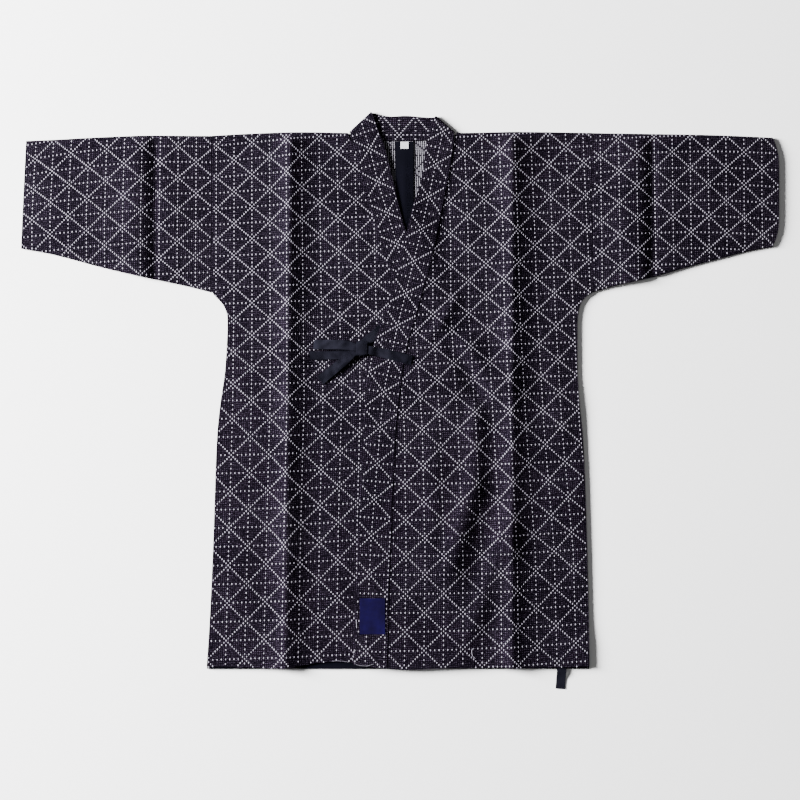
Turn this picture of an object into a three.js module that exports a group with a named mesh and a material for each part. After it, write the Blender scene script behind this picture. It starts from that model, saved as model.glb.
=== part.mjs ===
import * as THREE from 'three';

// Practice jacket of heavy woven cotton, laid flat on its back, the left front lapped over the right
// and tied with a bow. Millimetres: +X to the wearer's left, +Y to the neck, +Z up off the surface.
// The origin lies on the surface, under the middle of the outline.

// Cloth and tape thicknesses, and the gaps kept between pieces
const CLOTH = 2;
const BAND = 3;
const TAPE = 1;
const LABEL = 0.5;
const SEAM_GAP = 0.4;
const LAYER_GAP = 0.3;

// Heights of the middle of each layer above the surface
const BACK_MID = CLOTH / 2;
const FRONT_MID = 3.6;
const NECK_BAND_MID = BAND / 2;
const TAPE_MID = CLOTH + LAYER_GAP + TAPE / 2;
const RIGHT_BAND_MID = TAPE_MID + TAPE / 2 + LAYER_GAP + BAND / 2;
const RIGHT_BAND_TOP = RIGHT_BAND_MID + BAND / 2;
const OVERLAP_GAP = 0.7;
const LEFT_BAND_MID = RIGHT_BAND_TOP + OVERLAP_GAP + BAND / 2;
const LEFT_BAND_TOP = LEFT_BAND_MID + BAND / 2;

// Main lines seen from above
const CENTRE_BACK = 7;
const BACK_HEM = -426;
const UNDERARM = 171;
const ARMHOLE = { right: -298.7, left: 305 };
const FRONT_CREASE = { right: -173, left: 179.6 };
const CREASE_HEIGHT = 3.2;
const CREASE_REACH = 16;
const TAPE_WIDTH = 15;
const SIDE_PRESS = 14;
const PRESS_RUN = 40;
const SHOULDER_INNER = { right: -82.5, left: 89.5 };

// Side seams below the armhole: y, and how far out each lies
const SIDE_SEAM = [
  { y: 171, right: -298.7, left: 305 },
  { y: 166, right: -294, left: 296 },
  { y: 153, right: -281, left: 286 },
  { y: 141, right: -275, left: 283 },
  { y: 128, right: -273.3, left: 281.3 },
  { y: 52, right: -276.5, left: 281.5 },
  { y: 13, right: -282.8, left: 283 },
  { y: -63, right: -291, left: 290.8 },
  { y: -206, right: -295.6, left: 296 },
  { y: -317, right: -300.3, left: 299 },
  { y: -426, right: -306.7, left: 300.3 },
];

// Shoulder line, the fold at the top of the body
const SHOULDER = [
  { x: -299, y: 420.3 },
  { x: -246, y: 423.5 },
  { x: -150, y: 426.2 },
  { x: -80, y: 425 },
  { x: 89, y: 425 },
  { x: 190, y: 426.6 },
  { x: 305, y: 425 },
];

// Front hems: the right one sits a little higher than the back hem
const HEM = {
  right: [
    { x: -307, y: -421.5 },
    { x: -190, y: -425 },
    { x: -150, y: -419 },
    { x: -100, y: -413 },
    { x: -72, y: -416 },
    { x: 28, y: -416 },
  ],
  left: [
    { x: -20, y: -425 },
    { x: 5, y: -427 },
    { x: 95, y: -423.5 },
    { x: 240, y: -423.5 },
    { x: 301, y: -421.5 },
  ],
};

// Collar band on each front: y and x of its seam, and the point across on its free edge
const COLLAR = {
  right: [
    { y: 412, seam: -77.5, freeX: -37.5, freeY: 437 },
    { y: 395, seam: -72.5, freeX: -27, freeY: 412 },
    { y: 350, seam: -60, freeX: -13, freeY: 357 },
    { y: 300, seam: -45.5, freeX: 0, freeY: 303 },
    { y: 266, seam: -34, freeX: 7, freeY: 276 },
    { y: 217, seam: -17.8, freeX: 24, freeY: 232 },
    { y: 160, seam: 0, freeX: 45, freeY: 172 },
    { y: 104, seam: 12.7, freeX: 60, freeY: 112 },
    { y: 48, seam: 19, freeX: 68, freeY: 52 },
    { y: -31, seam: 23.8, freeX: 73, freeY: -31 },
    { y: -416, seam: 28.6, freeX: 78, freeY: -416 },
  ],
  left: [
    { y: 412, seam: 86, freeX: 47.5, freeY: 430 },
    { y: 395, seam: 84, freeX: 41, freeY: 409 },
    { y: 350, seam: 76, freeX: 36, freeY: 358 },
    { y: 300, seam: 66, freeX: 18.7, freeY: 302 },
    { y: 262, seam: 58.8, freeX: 11, freeY: 268 },
    { y: 217, seam: 48.6, freeX: 1, freeY: 232 },
    { y: 139, seam: 26.7, freeX: -19, freeY: 148 },
    { y: 104, seam: 16.5, freeX: -32, freeY: 116 },
    { y: 70, seam: 8, freeX: -44.5, freeY: 82 },
    { y: 32, seam: 2.5, freeX: -53.5, freeY: 30 },
    { y: -53, seam: -6.4, freeX: -57.5, freeY: -54 },
    { y: -223, seam: -14.3, freeX: -66.5, freeY: -223 },
    { y: -425, seam: -20.5, freeX: -73.5, freeY: -419 },
  ],
};

// Collar band across the back of the neck, where its inner face shows
const NECK = [
  { seamX: -60, seamY: 418.5, freeX: -36, freeY: 454.5 },
  { seamX: -40, seamY: 413.3, freeX: -26, freeY: 452 },
  { seamX: -20, seamY: 412, freeX: -13, freeY: 450 },
  { seamX: 7, seamY: 412, freeX: 7, freeY: 453 },
  { seamX: 32, seamY: 412, freeX: 27, freeY: 450.5 },
  { seamX: 50, seamY: 413.5, freeX: 40, freeY: 449.5 },
  { seamX: 68, seamY: 418, freeX: 48, freeY: 449 },
];

const NECK_CENTRE = NECK.find((row) => row.seamX === CENTRE_BACK);

// The slanting folds where the band turns over at each side of the neck
const NECK_FOLD = {
  right: { seamX: -78.5, seamY: 424, freeX: -43.8, freeY: 456.1 },
  left: { seamX: 85.2, seamY: 423.5, freeX: 55, freeY: 449.6 },
};

// Sleeves: the fold along the top, the seam along the bottom, and how far the layers stand apart
const SLEEVE = {
  right: [
    { x: -299, top: 420.3, under: 171, loft: 0.6 },
    { x: -330, top: 420.4, under: 179, loft: 2.4 },
    { x: -366, top: 420.8, under: 187, loft: 3.2 },
    { x: -397, top: 421, under: 193, loft: 0.7 },
    { x: -428, top: 420, under: 200, loft: 3 },
    { x: -480, top: 418, under: 212.5, loft: 3.6 },
    { x: -556, top: 414, under: 233, loft: 2.8 },
    { x: -597.3, top: 412.4, under: 240.7, loft: 1.6 },
  ],
  left: [
    { x: 305, top: 425, under: 171, loft: 0.6 },
    { x: 335, top: 424.4, under: 180, loft: 2.4 },
    { x: 365, top: 424, under: 187, loft: 3.2 },
    { x: 395.7, top: 423.5, under: 193.5, loft: 0.7 },
    { x: 428, top: 423, under: 203, loft: 3 },
    { x: 480, top: 422, under: 217.5, loft: 3.6 },
    { x: 556, top: 419.5, under: 236, loft: 2.8 },
    { x: 601.3, top: 417.5, under: 243.5, loft: 1.6 },
  ],
};
const CUFF_SLANT = { right: 4, left: 0 };
const CUFF_CORNER = { right: 0, left: 11 };
const CORNER_POWER = 7;
const SWELL_POWER = 4;

// Outer ties and bow: the path of each stretch, its width, and its lift off what it lies on
const TIE_LEFT = [
  { x: 18.5, y: 63.5, width: 15, lift: -1 },
  { x: 12.5, y: 65, width: 15, lift: -0.6 },
  { x: 6, y: 66.5, width: 15, lift: 0.2 },
  { x: -20, y: 73.5, width: 15, lift: 0.1 },
  { x: -44, y: 79, width: 14, lift: 0.1 },
  { x: -52, y: 80.5, width: 12, lift: -0.4 },
  { x: -57, y: 81.5, width: 12, lift: -0.6 },
];
const TIE_RIGHT = [
  { x: -9, y: 127.5, width: 15, lift: 0 },
  { x: -18, y: 121, width: 15, lift: 0.1 },
  { x: -30, y: 112.5, width: 15, lift: 0 },
  { x: -46, y: 100, width: 15, lift: 0 },
  { x: -62, y: 87, width: 13, lift: 0 },
];
const BOW_LOOP = [
  { x: -61.5, y: 83, width: 10, lift: 5.7 },
  { x: -70, y: 84, width: 11, lift: 5.6 },
  { x: -79, y: 86.5, width: 14, lift: 4.9 },
  { x: -92, y: 88.5, width: 15, lift: 2.6 },
  { x: -110, y: 88.5, width: 15, lift: 0.6 },
  { x: -133.5, y: 88.5, width: 15, lift: 0.1 },
  { x: -136.5, y: 88.5, width: 15, lift: 1.5 },
  { x: -133.5, y: 88.5, width: 15, lift: 2.9 },
  { x: -110, y: 88.5, width: 15, lift: 4.6 },
  { x: -92, y: 88.5, width: 15, lift: 6 },
  { x: -79, y: 86.5, width: 14, lift: 7 },
  { x: -70, y: 84, width: 11, lift: 7.1 },
  { x: -61.5, y: 83, width: 10, lift: 7 },
];
const BOW_TAIL_LONG = [
  { x: -61.5, y: 81.5, width: 10, lift: 4.4 },
  { x: -69.5, y: 79.5, width: 10, lift: 4.3 },
  { x: -79, y: 72, width: 14, lift: 3.2 },
  { x: -92, y: 60, width: 15, lift: 2.2 },
  { x: -104, y: 50, width: 15, lift: 1.5 },
  { x: -114, y: 41.8, width: 15, lift: 0.2 },
  { x: -126.3, y: 31.8, width: 15, lift: 0.1 },
];
const BOW_TAIL_SHORT = [
  { x: -61.5, y: 81.5, width: 10, lift: 3.1 },
  { x: -70, y: 80, width: 9.5, lift: 3.05 },
  { x: -84, y: 74, width: 13, lift: 0.9 },
  { x: -100, y: 71.8, width: 14, lift: 0.1 },
  { x: -124, y: 71.4, width: 13, lift: 0.1 },
  { x: -148.2, y: 71.3, width: 13, lift: 0.1 },
];

// The turn of tape that holds the bow, a flattened ring that the other stretches run into
const KNOT = { x0: -69.2, x1: -51.6, y: 82.3, reach: 10.8, lift: 2.1, height: 8, bulge: 0.9, squareness: 0.6 };

// Inner tie, sewn inside the left side seam, with its end below the hem
const TIE_INNER = [
  { x: 267, y: -14, z: TAPE_MID },
  { x: 263, y: -60, z: TAPE_MID },
  { x: 257, y: -383, z: TAPE_MID },
  { x: 256.8, y: -394, z: TAPE_MID + TAPE + LAYER_GAP },
  { x: 256.5, y: -427.5, z: TAPE_MID + TAPE + LAYER_GAP },
  { x: 256.2, y: -433, z: 3.2 },
  { x: 255.8, y: -439, z: 1.3 },
  { x: 255.4, y: -444, z: TAPE / 2 },
  { x: 254.6, y: -458, z: TAPE / 2 },
];

// Flat strips and patches on the inside of the back and on the lapped band
const BACK_TAPE = { x0: -7.2, x1: 21.6, y0: -396, y1: 411 };
const HEM_FACING = { x0: -303, x1: 297, y0: -425.5, y1: -398 };
const SIZE_TAG = { x0: 0.8, x1: 13.5, y0: 399.5, y1: 410.5 };
const HEM_LABEL = { x: -43.7, y: -341.6, width: 40, length: 57 };

// What the fronts drape over: the box of each strip seen from above, and its top
const STRIP_TOP = CLOTH + LAYER_GAP + TAPE;
const DRAPED_OVER = [
  { x0: -16, x1: 30, y0: -430, y1: 412, top: STRIP_TOP },
  { x0: -310, x1: 305, y0: -430, y1: -392, top: STRIP_TOP },
  { x0: 240, x1: 279, y0: -430, y1: 8, top: STRIP_TOP },
  { x0: 214, x1: 292, y0: -430, y1: -376, top: STRIP_TOP + TAPE + LAYER_GAP },
];
const DRAPE_REACH = 26;
const LAP_EDGE = 15;
const LAP_REACH = 42;

// Rows of the front shared by each panel and the band sewn to it, and the rows of the back
const FRONT_ROWS = [412, 395, 372, 350, 325, 300, 280, 262, 240, 217, 194, UNDERARM, 166, 160, 153,
  141, 128, 104, 87, 70, 51, 32, 5, -22, -53, -105, -160, -223, -290, -350, -382, -398];
const BACK_ROWS = [BACK_HEM, -317, -206, -63, 13, 52, 128, 141, 153, 160, 166, UNDERARM, 250, 330, 398];
const FOLD_STEPS = 6;
const CREASE_COLUMNS = [-34, -12, 0, 12, 34];
const PRESS_COLUMN = 8.4;
const INNER_STEPS = { right: 6, left: 8 };
const BAND_STEPS = 3;
const SLEEVE_STEPS = 16;
const SLEEVE_ACROSS = 9;
const SLEEVE_BEND = 4;
const KNOT_AROUND = 16;
const KNOT_STEPS = 4;

function smooth(value) {
  const t = Math.min(Math.max(value, 0), 1);
  return t * t * (3 - 2 * t);
}

function mix(from, to, share) {
  return from + (to - from) * share;
}

// Reads a column of a table at any value of its key, on a smooth curve that never swings past its rows
function read(table, key, column, at) {
  const rows = [...table].sort((a, b) => a[key] - b[key]);
  const last = rows.length - 1;
  const rise = (i) => (rows[i + 1][column] - rows[i][column]) / (rows[i + 1][key] - rows[i][key]);
  const slope = (i) => {
    if (i === 0) return rise(0);
    if (i === last) return rise(last - 1);
    const before = rise(i - 1);
    const after = rise(i);
    return before * after > 0 ? (2 * before * after) / (before + after) : 0;
  };
  let i = 0;
  while (i < last - 1 && rows[i + 1][key] <= at) i += 1;
  const step = rows[i + 1][key] - rows[i][key];
  const t = Math.min(Math.max((at - rows[i][key]) / step, 0), 1);
  const s = smooth(t);
  return rows[i][column] * (1 - s) + rows[i + 1][column] * s
    + step * t * (1 - t) * (slope(i) * (1 - t) - slope(i + 1) * t);
}

// A closed wall of cloth: the rows of points are its middle, and each face lies half the thickness off
function clothWall(name, rows, thickness, colour, ring = false) {
  const count = rows[0].length;
  const positions = [];
  for (const side of [1, -1]) {
    rows.forEach((row, i) => row.forEach((point, j) => {
      const ahead = rows[Math.min(i + 1, rows.length - 1)][j];
      const behind = rows[Math.max(i - 1, 0)][j];
      const next = ring ? row[(j + 1) % count] : row[Math.min(j + 1, count - 1)];
      const previous = ring ? row[(j + count - 1) % count] : row[Math.max(j - 1, 0)];
      const along = ahead.clone().sub(behind);
      const across = next.clone().sub(previous);
      const normal = along.cross(across).normalize();
      positions.push(...point.clone().addScaledVector(normal, side * thickness / 2).toArray());
    }));
  }
  const faces = [];
  const quad = (a, b, c, d) => faces.push(a, b, c, a, c, d);
  const other = rows.length * count;
  const cells = ring ? count : count - 1;
  for (let i = 0; i < rows.length - 1; i += 1) {
    for (let j = 0; j < cells; j += 1) {
      const k = (j + 1) % count;
      quad(i * count + j, (i + 1) * count + j, (i + 1) * count + k, i * count + k);
      quad(other + i * count + j, other + i * count + k, other + (i + 1) * count + k, other + (i + 1) * count + j);
    }
    if (!ring) {
      const edge = count - 1;
      quad(i * count, other + i * count, other + (i + 1) * count, (i + 1) * count);
      quad(i * count + edge, (i + 1) * count + edge, other + (i + 1) * count + edge, other + i * count + edge);
    }
  }
  const end = (rows.length - 1) * count;
  for (let j = 0; j < cells; j += 1) {
    const k = (j + 1) % count;
    quad(j, k, other + k, other + j);
    quad(end + j, other + end + j, other + end + k, end + k);
  }
  return solid(name, positions, faces, colour);
}

// A named mesh whose faces point out
function solid(name, positions, faces, colour) {
  let volume = 0;
  const corner = (k) => new THREE.Vector3().fromArray(positions, faces[k] * 3);
  for (let k = 0; k < faces.length; k += 3) {
    volume += corner(k).dot(corner(k + 1).cross(corner(k + 2)));
  }
  const geometry = new THREE.BufferGeometry();
  geometry.setAttribute('position', new THREE.Float32BufferAttribute(positions, 3));
  geometry.setIndex(volume > 0 ? faces : [...faces].reverse());
  const material = new THREE.MeshStandardMaterial({ color: colour, roughness: 0.95, metalness: 0 });
  const mesh = new THREE.Mesh(geometry, material);
  mesh.name = name;
  return mesh;
}

// How far outside a box seen from above a point lies
function outside(box, x, y) {
  const dx = Math.max(box.x0 - x, 0, x - box.x1);
  const dy = Math.max(box.y0 - y, 0, y - box.y1);
  return Math.hypot(dx, dy);
}

// The right front's free edge, which the left front laps over
function rightFreeEdge(y) {
  return read(COLLAR.right, 'freeY', 'freeX', y);
}

// 1 over the right front, falling to 0 past its free edge
function lapped(x, y) {
  return 1 - smooth((x - rightFreeEdge(y) - LAP_EDGE) / LAP_REACH);
}

// Height of the middle of a front panel
function frontHeight(side, x, y) {
  let bottom = FRONT_MID - CLOTH / 2;
  const away = Math.abs(x - FRONT_CREASE[side]) / CREASE_REACH;
  const crease = CREASE_HEIGHT / (1 + away * away);
  bottom += crease;
  for (const strip of DRAPED_OVER) {
    const level = strip.top + LAYER_GAP;
    const reach = 1 - smooth(outside(strip, x, y) / DRAPE_REACH);
    bottom = Math.max(bottom, mix(bottom, level, reach));
  }
  if (side === 'left') {
    const level = RIGHT_BAND_TOP + OVERLAP_GAP;
    bottom = mix(bottom, level, lapped(x, y));
  }
  const fromSide = Math.abs(sideSeam(side, y) - x);
  const pressed = (1 - smooth(fromSide / SIDE_PRESS)) * smooth((UNDERARM - y) / PRESS_RUN);
  return mix(bottom, CLOTH + LAYER_GAP, pressed * (bottom < STRIP_TOP ? 1 : 0)) + CLOTH / 2;
}

function sideSeam(side, y) {
  return y >= UNDERARM ? ARMHOLE[side] : read(SIDE_SEAM, 'y', side, y);
}

// The columns of a panel from its inner edge to its outer one, with one on the long crease
function columns(side, inner, outer) {
  const out = side === 'left' ? 1 : -1;
  const reach = CREASE_COLUMNS.map((offset) => FRONT_CREASE[side] + out * offset);
  const steps = INNER_STEPS[side];
  const places = [];
  for (let i = 0; i < steps; i += 1) places.push(mix(inner, reach[0], i / steps));
  const past = reach[reach.length - 1];
  places.push(...reach, (past + outer) / 2, outer - out * PRESS_COLUMN, outer);
  return places;
}

// One half of the body in one piece: up the back, over the shoulder and down the front
function bodyPanel(side, colour) {
  const out = side === 'left' ? 1 : -1;
  const centre = CENTRE_BACK + out * SEAM_GAP / 2;
  const rows = [];
  const armEdge = (y) => sideSeam(side, y) - out * (y >= UNDERARM ? SEAM_GAP / 2 : 0);
  for (const y of BACK_ROWS) {
    rows.push(columns(side, centre, armEdge(y)).map((x) => new THREE.Vector3(x, y, BACK_MID)));
  }
  const neckline = NECK.filter((row) => (row.seamX - CENTRE_BACK) * out > 0);
  neckline.sort((a, b) => (a.seamX - b.seamX) * out);
  const foldAt = (x) => {
    const radius = (frontHeight(side, x, read(SHOULDER, 'x', 'y', x)) - BACK_MID) / 2;
    return { radius, y: read(SHOULDER, 'x', 'y', x) - CLOTH / 2 - radius };
  };
  const corner = [{ seamX: centre, seamY: NECK_CENTRE.seamY }, ...neckline];
  corner.forEach((point, i) => {
    const start = BACK_ROWS[BACK_ROWS.length - 1];
    const share = (i + 1) / (corner.length + 1);
    const places = columns(side, point.seamX, armEdge(UNDERARM));
    rows.push(places.map((x, j) => {
      const outerY = mix(start, foldAt(x).y, share);
      const inwards = 1 - smooth(j / INNER_STEPS[side]);
      return new THREE.Vector3(x, mix(outerY, point.seamY - SEAM_GAP, inwards), BACK_MID);
    }));
  });
  const topRow = columns(side, SHOULDER_INNER[side], armEdge(UNDERARM));
  for (let k = 0; k <= FOLD_STEPS; k += 1) {
    const angle = (Math.PI * k) / FOLD_STEPS;
    rows.push(topRow.map((x) => {
      const fold = foldAt(x);
      const y = fold.y + fold.radius * Math.sin(angle);
      return new THREE.Vector3(x, y, BACK_MID + fold.radius * (1 - Math.cos(angle)));
    }));
  }
  for (const y of FRONT_ROWS) {
    const inner = read(COLLAR[side], 'y', 'seam', y) + out * SEAM_GAP / 2;
    const places = columns(side, inner, armEdge(y));
    rows.push(places.map((x) => new THREE.Vector3(x, y, frontHeight(side, x, y))));
  }
  const hemInner = read(COLLAR[side], 'y', 'seam', BACK_HEM) + out * SEAM_GAP / 2;
  const hem = columns(side, hemInner, armEdge(BACK_HEM));
  rows.push(hem.map((x) => {
    const y = read(HEM[side], 'x', 'y', x);
    return new THREE.Vector3(x, y, frontHeight(side, x, y));
  }));
  return clothWall(`body_panel_${side}`, rows, CLOTH, colour);
}

// A flattened tube: the lower layer lies on the surface, the fold runs along the top
function sleeve(side, colour) {
  const out = side === 'left' ? 1 : -1;
  const table = SLEEVE[side];
  const start = ARMHOLE[side] + out * SEAM_GAP / 2;
  const cuff = table[table.length - 1].x;
  const stations = [];
  for (let i = 0; i <= SLEEVE_STEPS; i += 1) stations.push(mix(start, cuff, i / SLEEVE_STEPS));
  const rows = stations.map((x, i) => {
    const top = read(table, 'x', 'top', x);
    const under = read(table, 'x', 'under', x);
    const loft = read(table, 'x', 'loft', x);
    const radius = (CLOTH + table[0].loft) / 2;
    const high = top - CLOTH / 2 - radius;
    const low = under + CLOTH / 2 + radius;
    const shape = (y, z) => {
      const across = (2 * (y - under)) / (top - under) - 1;
      const end = smooth((i / SLEEVE_STEPS) * 3 - 2);
      const skew = end * (CUFF_SLANT[side] * -across - CUFF_CORNER[side] * Math.abs(across) ** CORNER_POWER);
      return new THREE.Vector3(x + out * skew, y, z);
    };
    const ring = [];
    for (let j = 0; j <= SLEEVE_ACROSS; j += 1) ring.push(shape(mix(low, high, j / SLEEVE_ACROSS), BACK_MID));
    for (let j = 1; j < SLEEVE_BEND; j += 1) {
      const angle = (Math.PI * j) / SLEEVE_BEND;
      ring.push(shape(high + radius * Math.sin(angle), BACK_MID + radius * (1 - Math.cos(angle))));
    }
    for (let j = 0; j <= SLEEVE_ACROSS; j += 1) {
      const share = j / SLEEVE_ACROSS;
      const swell = 1 - Math.abs(2 * share - 1) ** SWELL_POWER;
      const rise = (loft - table[0].loft) * swell;
      ring.push(shape(mix(high, low, share), BACK_MID + 2 * radius + rise));
    }
    for (let j = 1; j < SLEEVE_BEND; j += 1) {
      const angle = (Math.PI * j) / SLEEVE_BEND;
      ring.push(shape(low - radius * Math.sin(angle), BACK_MID + radius * (1 + Math.cos(angle))));
    }
    return ring;
  });
  return clothWall(`sleeve_${side}`, rows, CLOTH, colour, true);
}

// One section of the band, from its seam to its free edge
function bandSection(seamX, seamY, freeX, freeY, height) {
  const section = [];
  for (let j = 0; j <= BAND_STEPS; j += 1) {
    const x = mix(seamX, freeX, j / BAND_STEPS);
    const y = mix(seamY, freeY, j / BAND_STEPS);
    section.push(new THREE.Vector3(x, y, height(x, y)));
  }
  return section;
}

function bandHeight(side, x, y) {
  if (side === 'right') return RIGHT_BAND_MID;
  return mix(RIGHT_BAND_MID, LEFT_BAND_MID, lapped(x, y));
}

// The band's sections down one front, from the neck to the hem
function frontBand(side) {
  const out = side === 'left' ? 1 : -1;
  const table = COLLAR[side];
  const last = table[table.length - 1];
  const rows = [...FRONT_ROWS, last.y];
  return rows.map((y) => {
    const seamX = read(table, 'y', 'seam', y) - out * SEAM_GAP / 2;
    const freeX = read(table, 'y', 'freeX', y);
    const freeY = read(table, 'y', 'freeY', y);
    return bandSection(seamX, y, freeX, freeY, (px, py) => bandHeight(side, px, py));
  });
}

// The slanting fold at the side of the neck, from the front's height down to the surface
function neckFold(side) {
  const out = side === 'left' ? 1 : -1;
  const fold = NECK_FOLD[side];
  const along = new THREE.Vector2(fold.freeX - fold.seamX, fold.freeY - fold.seamY).normalize();
  const away = new THREE.Vector2(along.y * out, -along.x * out);
  const radius = (RIGHT_BAND_MID - NECK_BAND_MID) / 2;
  const rows = [];
  for (let k = 0; k <= FOLD_STEPS; k += 1) {
    const angle = (Math.PI * k) / FOLD_STEPS;
    const push = radius * Math.sin(angle);
    const z = RIGHT_BAND_MID - radius * (1 - Math.cos(angle));
    rows.push(bandSection(fold.seamX + away.x * push, fold.seamY + away.y * push,
      fold.freeX + away.x * push, fold.freeY + away.y * push, () => z));
  }
  return rows;
}

function collarBand(colour) {
  const across = NECK.map((row) => bandSection(row.seamX, row.seamY, row.freeX, row.freeY, () => NECK_BAND_MID));
  const rows = [
    ...frontBand('right').reverse(),
    ...neckFold('right'),
    ...across,
    ...neckFold('left').reverse(),
    ...frontBand('left'),
  ];
  return clothWall('collar_band', rows, BAND, colour);
}

// A flat tape along a path, its width lying level
function tape(name, path, colour) {
  const rows = path.map((point, i) => {
    const ahead = path[Math.min(i + 1, path.length - 1)];
    const behind = path[Math.max(i - 1, 0)];
    const run = new THREE.Vector2(ahead.x - behind.x, ahead.y - behind.y);
    const first = new THREE.Vector2(path[1].x - path[0].x, path[1].y - path[0].y);
    if (run.length() < 1) run.copy(first);
    run.normalize();
    if (run.dot(first) < 0) run.negate();
    return [-0.5, 0, 0.5].map((share) => new THREE.Vector3(
      point.x - run.y * share * point.width,
      point.y + run.x * share * point.width,
      point.z,
    ));
  });
  return clothWall(name, rows, TAPE, colour);
}

// The path of a tape that lies on the right front, lifted off it where other stretches pass below
function onRightFront(path) {
  const clear = CLOTH / 2 + LAYER_GAP + TAPE / 2;
  return path.map((point) => ({ ...point, z: frontHeight('right', point.x, point.y) + clear + point.lift }));
}

// The path of a tape that lies on the lapped band
function onLeftBand(path) {
  return path.map((point) => ({ ...point, z: LEFT_BAND_TOP + LAYER_GAP + TAPE / 2 + point.lift }));
}

// A flat strip or patch at one height
function patch(name, box, height, thickness, steps, colour) {
  const rows = [];
  for (let i = 0; i <= steps; i += 1) {
    const y = mix(box.y0, box.y1, i / steps);
    rows.push([box.x0, (box.x0 + box.x1) / 2, box.x1].map((x) => new THREE.Vector3(x, y, height)));
  }
  return clothWall(name, rows, thickness, colour);
}

// The turn of tape round the bow: a flattened ring, a little fuller in the middle of its width
function knot(colour) {
  const base = frontHeight('right', KNOT.x0, KNOT.y) + CLOTH / 2 + KNOT.lift + KNOT.height / 2;
  const rows = [];
  for (let i = 0; i <= KNOT_STEPS; i += 1) {
    const full = KNOT.bulge * Math.sin((Math.PI * i) / KNOT_STEPS);
    const ring = [];
    for (let j = 0; j < KNOT_AROUND; j += 1) {
      const turn = (2 * Math.PI * j) / KNOT_AROUND;
      const y = Math.sign(Math.cos(turn)) * Math.abs(Math.cos(turn)) ** KNOT.squareness;
      const z = Math.sign(Math.sin(turn)) * Math.abs(Math.sin(turn)) ** KNOT.squareness;
      const swell = z > 0 ? full : 0;
      ring.push(new THREE.Vector3(
        mix(KNOT.x0, KNOT.x1, i / KNOT_STEPS),
        KNOT.y + (KNOT.reach + full) * y,
        base + (KNOT.height / 2 + swell) * z,
      ));
    }
    rows.push(ring);
  }
  return clothWall('bow_knot', rows, TAPE, colour, true);
}

const WOVEN = 0x2d2937;
const WOVEN_BAND = 0x2a2634;
const NAVY_TAPE = 0x1d212b;
const NAVY_RIB = 0x171a2c;
const WHITE_TAG = 0xe6e6e6;
const LABEL_BLUE = 0x1b175c;

const labelBox = {
  x0: HEM_LABEL.x - HEM_LABEL.width / 2,
  x1: HEM_LABEL.x + HEM_LABEL.width / 2,
  y0: HEM_LABEL.y - HEM_LABEL.length / 2,
  y1: HEM_LABEL.y + HEM_LABEL.length / 2,
};

const group = new THREE.Group();
group.add(
  bodyPanel('right', WOVEN),
  bodyPanel('left', WOVEN),
  sleeve('right', WOVEN),
  sleeve('left', WOVEN),
  collarBand(WOVEN_BAND),
  patch('back_seam_tape', BACK_TAPE, TAPE_MID, TAPE, 6, NAVY_TAPE),
  patch('hem_facing', HEM_FACING, TAPE_MID, TAPE, 2, NAVY_RIB),
  patch('size_tag', SIZE_TAG, STRIP_TOP + LAYER_GAP + LABEL / 2, LABEL, 1, WHITE_TAG),
  patch('hem_label', labelBox, LEFT_BAND_TOP + LAYER_GAP + LABEL / 2, LABEL, 2, LABEL_BLUE),
  tape('tie_left', onLeftBand(TIE_LEFT), NAVY_TAPE),
  tape('tie_right', onRightFront(TIE_RIGHT), NAVY_TAPE),
  tape('bow_loop', onRightFront(BOW_LOOP), NAVY_TAPE),
  tape('bow_tail_long', onRightFront(BOW_TAIL_LONG), NAVY_TAPE),
  tape('bow_tail_short', onRightFront(BOW_TAIL_SHORT), NAVY_TAPE),
  tape('tie_inner', TIE_INNER.map((point) => ({ ...point, width: TAPE_WIDTH })), NAVY_TAPE),
  knot(NAVY_TAPE),
);

export default group;
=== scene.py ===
import math

import bmesh
import bpy
import numpy as np
from mathutils import Matrix, Vector
from mathutils.bvhtree import BVHTree


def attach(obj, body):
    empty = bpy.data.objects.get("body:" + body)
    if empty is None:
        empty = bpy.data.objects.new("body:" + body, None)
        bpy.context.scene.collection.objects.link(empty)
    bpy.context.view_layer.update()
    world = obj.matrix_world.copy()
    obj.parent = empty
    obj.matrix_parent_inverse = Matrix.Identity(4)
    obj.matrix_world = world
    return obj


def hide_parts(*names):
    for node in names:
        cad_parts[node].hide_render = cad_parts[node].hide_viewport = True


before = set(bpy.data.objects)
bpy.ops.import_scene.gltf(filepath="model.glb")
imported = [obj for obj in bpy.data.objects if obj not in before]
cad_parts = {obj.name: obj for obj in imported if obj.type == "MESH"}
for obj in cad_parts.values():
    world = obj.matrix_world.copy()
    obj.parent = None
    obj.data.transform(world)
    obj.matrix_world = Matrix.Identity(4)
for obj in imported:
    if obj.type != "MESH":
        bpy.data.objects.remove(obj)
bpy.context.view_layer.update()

# The camera hangs straight above the jacket, as when the picture was taken, and takes in 1271 mm
# of the surface from high enough that nothing seems to lean.
MM = 0.001
PICTURE_WIDTH = 1271.2 * MM
LENS = 85
SENSOR = 36
PICTURE_MIDDLE = 0.8 * MM

eye = bpy.data.cameras.new("camera")
eye.lens = LENS
eye.sensor_width = SENSOR
camera = bpy.data.objects.new("camera", eye)
camera.location = (0, PICTURE_MIDDLE, PICTURE_WIDTH * LENS / SENSOR)
bpy.context.scene.collection.objects.link(camera)
bpy.context.scene.camera = camera

# The surface that it lies on: a plain pale board, matt, wide enough to fill every view. Its face
# is a hair below the cloth's.
FLOOR_HALF = 30.0
FLOOR_DROP = 0.15 * MM
FLOOR_COLOUR = (0.93, 0.93, 0.935, 1)
FLOOR_ROUGHNESS = 0.9

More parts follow.
